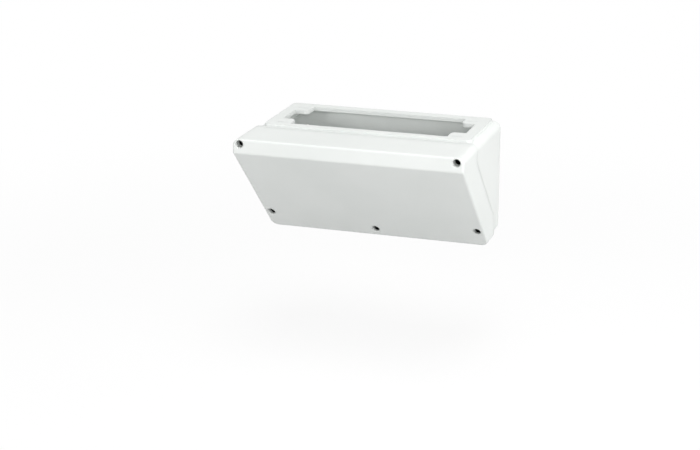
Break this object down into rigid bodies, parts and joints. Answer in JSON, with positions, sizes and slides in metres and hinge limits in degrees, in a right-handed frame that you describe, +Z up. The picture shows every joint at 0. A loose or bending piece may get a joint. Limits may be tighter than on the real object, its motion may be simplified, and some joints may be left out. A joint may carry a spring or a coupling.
{
  "type": "electrical enclosure",
  "caption": "Wall-mounted plastic enclosure with a flanged opening on top and a sloping lift-off cover held by captive screws.",
  "frame": {"origin": "centre of the four wall fixing holes, on the back plane", "axes": "+X across the width, +Y into the wall, +Z up; the front looks to -Y"},
  "size_m": [0.3, 0.202, 0.156],
  "materials": {
    "housing": "light grey moulded, fine satin grain",
    "seal": "matt foamed rubber",
    "screw": "glass-filled grey plastic",
    "retainer": "natural nylon",
    "insert": "turned brass"
  },
  "bodies": {
    "base": {"base_housing": "housing", "threaded_insert_1": "insert", "threaded_insert_2": "insert", "threaded_insert_3": "insert", "threaded_insert_4": "insert", "threaded_insert_5": "insert"},
    "cover": {"sloping_cover": "housing", "cover_seal": "seal", "screw_ring_1": "seal", "screw_ring_2": "seal", "screw_ring_3": "seal", "screw_ring_4": "seal", "screw_ring_5": "seal"},
    "screw_1": {"cover_screw_1": "screw", "screw_retainer_1": "retainer"},
    "screw_2": {"cover_screw_2": "screw", "screw_retainer_2": "retainer"},
    "screw_3": {"cover_screw_3": "screw", "screw_retainer_3": "retainer"},
    "screw_4": {"cover_screw_4": "screw", "screw_retainer_4": "retainer"},
    "screw_5": {"cover_screw_5": "screw", "screw_retainer_5": "retainer"}
  },
  "joints": [
    {"name": "cover_lift_off", "type": "slide", "parent": "base", "child": "cover", "axis": [0, -1, 0], "range_m": [0, 0.06]},
    {"name": "screw_1_turn", "type": "hinge", "parent": "cover", "child": "screw_1", "pos_m": [-0.1408, -0.1, 0.0698], "axis": [0, 1, 0], "continuous": true},
    {"name": "screw_2_turn", "type": "hinge", "parent": "cover", "child": "screw_2", "pos_m": [0.1408, -0.1, 0.0698], "axis": [0, 1, 0], "continuous": true},
    {"name": "screw_3_turn", "type": "hinge", "parent": "cover", "child": "screw_3", "pos_m": [-0.1408, -0.03, -0.0508], "axis": [0, 1, 0], "continuous": true},
    {"name": "screw_4_turn", "type": "hinge", "parent": "cover", "child": "screw_4", "pos_m": [0, -0.03, -0.0655], "axis": [0, 1, 0], "continuous": true},
    {"name": "screw_5_turn", "type": "hinge", "parent": "cover", "child": "screw_5", "pos_m": [0.1408, -0.03, -0.0508], "axis": [0, 1, 0], "continuous": true}
  ]
}
